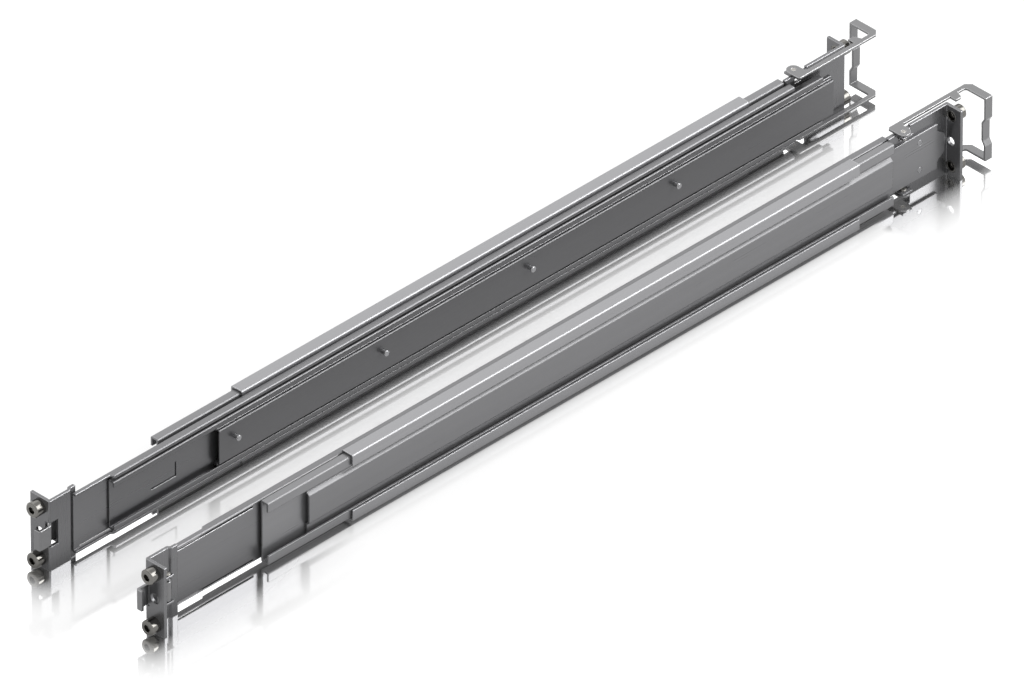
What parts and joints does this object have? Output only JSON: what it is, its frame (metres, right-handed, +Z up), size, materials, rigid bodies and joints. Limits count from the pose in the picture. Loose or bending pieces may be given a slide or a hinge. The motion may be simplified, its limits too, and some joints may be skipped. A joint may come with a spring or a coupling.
{
  "type": "sliding server rail pair",
  "caption": "Matched pair of ball-bearing slide rails with pinned front and rear brackets, spring latches and an adjustable rear section, for carrying a server in a square-hole rack.",
  "frame": {"origin": "centre of the overall box's underside, on the floor midway between the two rails", "axes": "+Y along the rails towards their rear ends, +Z up, +X towards the right rail"},
  "size_m": [0.0996, 0.6108, 0.0436],
  "materials": {
    "bracket_zinc": "bright zinc plate, fine brushed grain",
    "outer_zinc": "bright zinc plate, lengthwise rolling lines",
    "guide_zinc": "bright zinc plate, lengthwise rolling lines",
    "sleeve_zinc": "bright zinc plate, lengthwise rolling lines",
    "rear_zinc": "bright zinc plate, lengthwise rolling lines",
    "middle_zinc": "zinc plate with burnished ball races",
    "inner_zinc": "zinc plate with burnished ball races",
    "latch_zinc": "light satin zinc plate",
    "rivet_zinc": "zinc plate, struck heads",
    "stud_zinc": "turned and zinc plated",
    "cage_zinc": "thin bright strip",
    "pin_nickel": "bright nickel, turned",
    "pivot_nickel": "bright nickel, turned",
    "ball_chrome": "polished bearing steel",
    "spring_wire": "drawn spring wire"
  },
  "bodies": {
    "fixed_members": {"right_outer_rail": "outer_zinc", "right_front_bracket": "bracket_zinc", "right_front_pins": "pin_nickel", "right_guide_channel": "guide_zinc", "right_sleeve": "sleeve_zinc", "right_rail_rivets": "rivet_zinc", "right_front_latch_pivot": "pivot_nickel", "right_front_latch_spring": "spring_wire", "left_outer_rail": "outer_zinc", "left_front_bracket": "bracket_zinc", "left_front_pins": "pin_nickel", "left_guide_channel": "guide_zinc", "left_sleeve": "sleeve_zinc", "left_rail_rivets": "rivet_zinc", "left_front_latch_pivot": "pivot_nickel", "left_front_latch_spring": "spring_wire"},
    "right_rear_section": {"right_rear_rail": "rear_zinc", "right_rear_bracket": "bracket_zinc", "right_rear_pins": "pin_nickel", "right_rear_rivets": "rivet_zinc", "right_rear_latch_pivots": "pivot_nickel", "right_rear_latch_spring": "spring_wire"},
    "right_rear_catch": {"right_rear_latch": "latch_zinc"},
    "right_front_catch": {"right_front_latch": "latch_zinc"},
    "right_middle_member": {"right_middle_rail": "middle_zinc"},
    "right_inner_member": {"right_inner_rail": "inner_zinc", "right_server_studs": "stud_zinc"},
    "right_outer_ball_set": {"right_outer_cage": "cage_zinc", "right_outer_balls": "ball_chrome"},
    "right_inner_ball_set": {"right_inner_cage": "cage_zinc", "right_inner_balls": "ball_chrome"},
    "left_rear_section": {"left_rear_rail": "rear_zinc", "left_rear_bracket": "bracket_zinc", "left_rear_pins": "pin_nickel", "left_rear_rivets": "rivet_zinc", "left_rear_latch_pivots": "pivot_nickel", "left_rear_latch_spring": "spring_wire"},
    "left_rear_catch": {"left_rear_latch": "latch_zinc"},
    "left_front_catch": {"left_front_latch": "latch_zinc"},
    "left_middle_member": {"left_middle_rail": "middle_zinc"},
    "left_inner_member": {"left_inner_rail": "inner_zinc", "left_server_studs": "stud_zinc"},
    "left_outer_ball_set": {"left_outer_cage": "cage_zinc", "left_outer_balls": "ball_chrome"},
    "left_inner_ball_set": {"left_inner_cage": "cage_zinc", "left_inner_balls": "ball_chrome"}
  },
  "joints": [
    {"name": "right_rear_slide", "type": "slide", "parent": "fixed_members", "child": "right_rear_section", "axis": [0, 1, 0], "range_m": [0, 0.28]},
    {"name": "right_rear_catch_hinge", "type": "hinge", "parent": "right_rear_section", "child": "right_rear_catch", "pos_m": [0.0402, 0.24905, 0.0218], "axis": [0, 0, 1], "range_deg": [0, 15], "stiffness_Nm_per_rad": 0.05, "springref_deg": -11.46},
    {"name": "right_front_catch_hinge", "type": "hinge", "parent": "fixed_members", "child": "right_front_catch", "pos_m": [0.0408, -0.28905, 0.0218], "axis": [0, 0, 1], "range_deg": [-18, 0], "stiffness_Nm_per_rad": 0.05, "springref_deg": 11.46},
    {"name": "right_middle_slide", "type": "slide", "parent": "fixed_members", "child": "right_middle_member", "axis": [0, -1, 0], "range_m": [0, 0.33]},
    {"name": "right_inner_slide", "type": "slide", "parent": "right_middle_member", "child": "right_inner_member", "axis": [0, -1, 0], "range_m": [0, 0.33]},
    {"name": "right_outer_ball_slide", "type": "slide", "parent": "fixed_members", "child": "right_outer_ball_set", "axis": [0, -1, 0], "range_m": [0, 0.165]},
    {"name": "right_inner_ball_slide", "type": "slide", "parent": "right_middle_member", "child": "right_inner_ball_set", "axis": [0, -1, 0], "range_m": [0, 0.165]},
    {"name": "left_rear_slide", "type": "slide", "parent": "fixed_members", "child": "left_rear_section", "axis": [0, 1, 0], "range_m": [0, 0.28]},
    {"name": "left_rear_catch_hinge", "type": "hinge", "parent": "left_rear_section", "child": "left_rear_catch", "pos_m": [-0.0402, 0.24905, 0.0218], "axis": [0, 0, -1], "range_deg": [0, 15], "stiffness_Nm_per_rad": 0.05, "springref_deg": -11.46},
    {"name": "left_front_catch_hinge", "type": "hinge", "parent": "fixed_members", "child": "left_front_catch", "pos_m": [-0.0408, -0.28905, 0.0218], "axis": [0, 0, -1], "range_deg": [-18, 0], "stiffness_Nm_per_rad": 0.05, "springref_deg": 11.46},
    {"name": "left_middle_slide", "type": "slide", "parent": "fixed_members", "child": "left_middle_member", "axis": [0, -1, 0], "range_m": [0, 0.33]},
    {"name": "left_inner_slide", "type": "slide", "parent": "left_middle_member", "child": "left_inner_member", "axis": [0, -1, 0], "range_m": [0, 0.33]},
    {"name": "left_outer_ball_slide", "type": "slide", "parent": "fixed_members", "child": "left_outer_ball_set", "axis": [0, -1, 0], "range_m": [0, 0.165]},
    {"name": "left_inner_ball_slide", "type": "slide", "parent": "left_middle_member", "child": "left_inner_ball_set", "axis": [0, -1, 0], "range_m": [0, 0.165]}
  ],
  "couplings": [
    {"joint": "right_outer_ball_slide", "follows": "right_middle_slide", "ratio": 0.5},
    {"joint": "right_inner_ball_slide", "follows": "right_inner_slide", "ratio": 0.5},
    {"joint": "left_outer_ball_slide", "follows": "left_middle_slide", "ratio": 0.5},
    {"joint": "left_inner_ball_slide", "follows": "left_inner_slide", "ratio": 0.5}
  ]
}
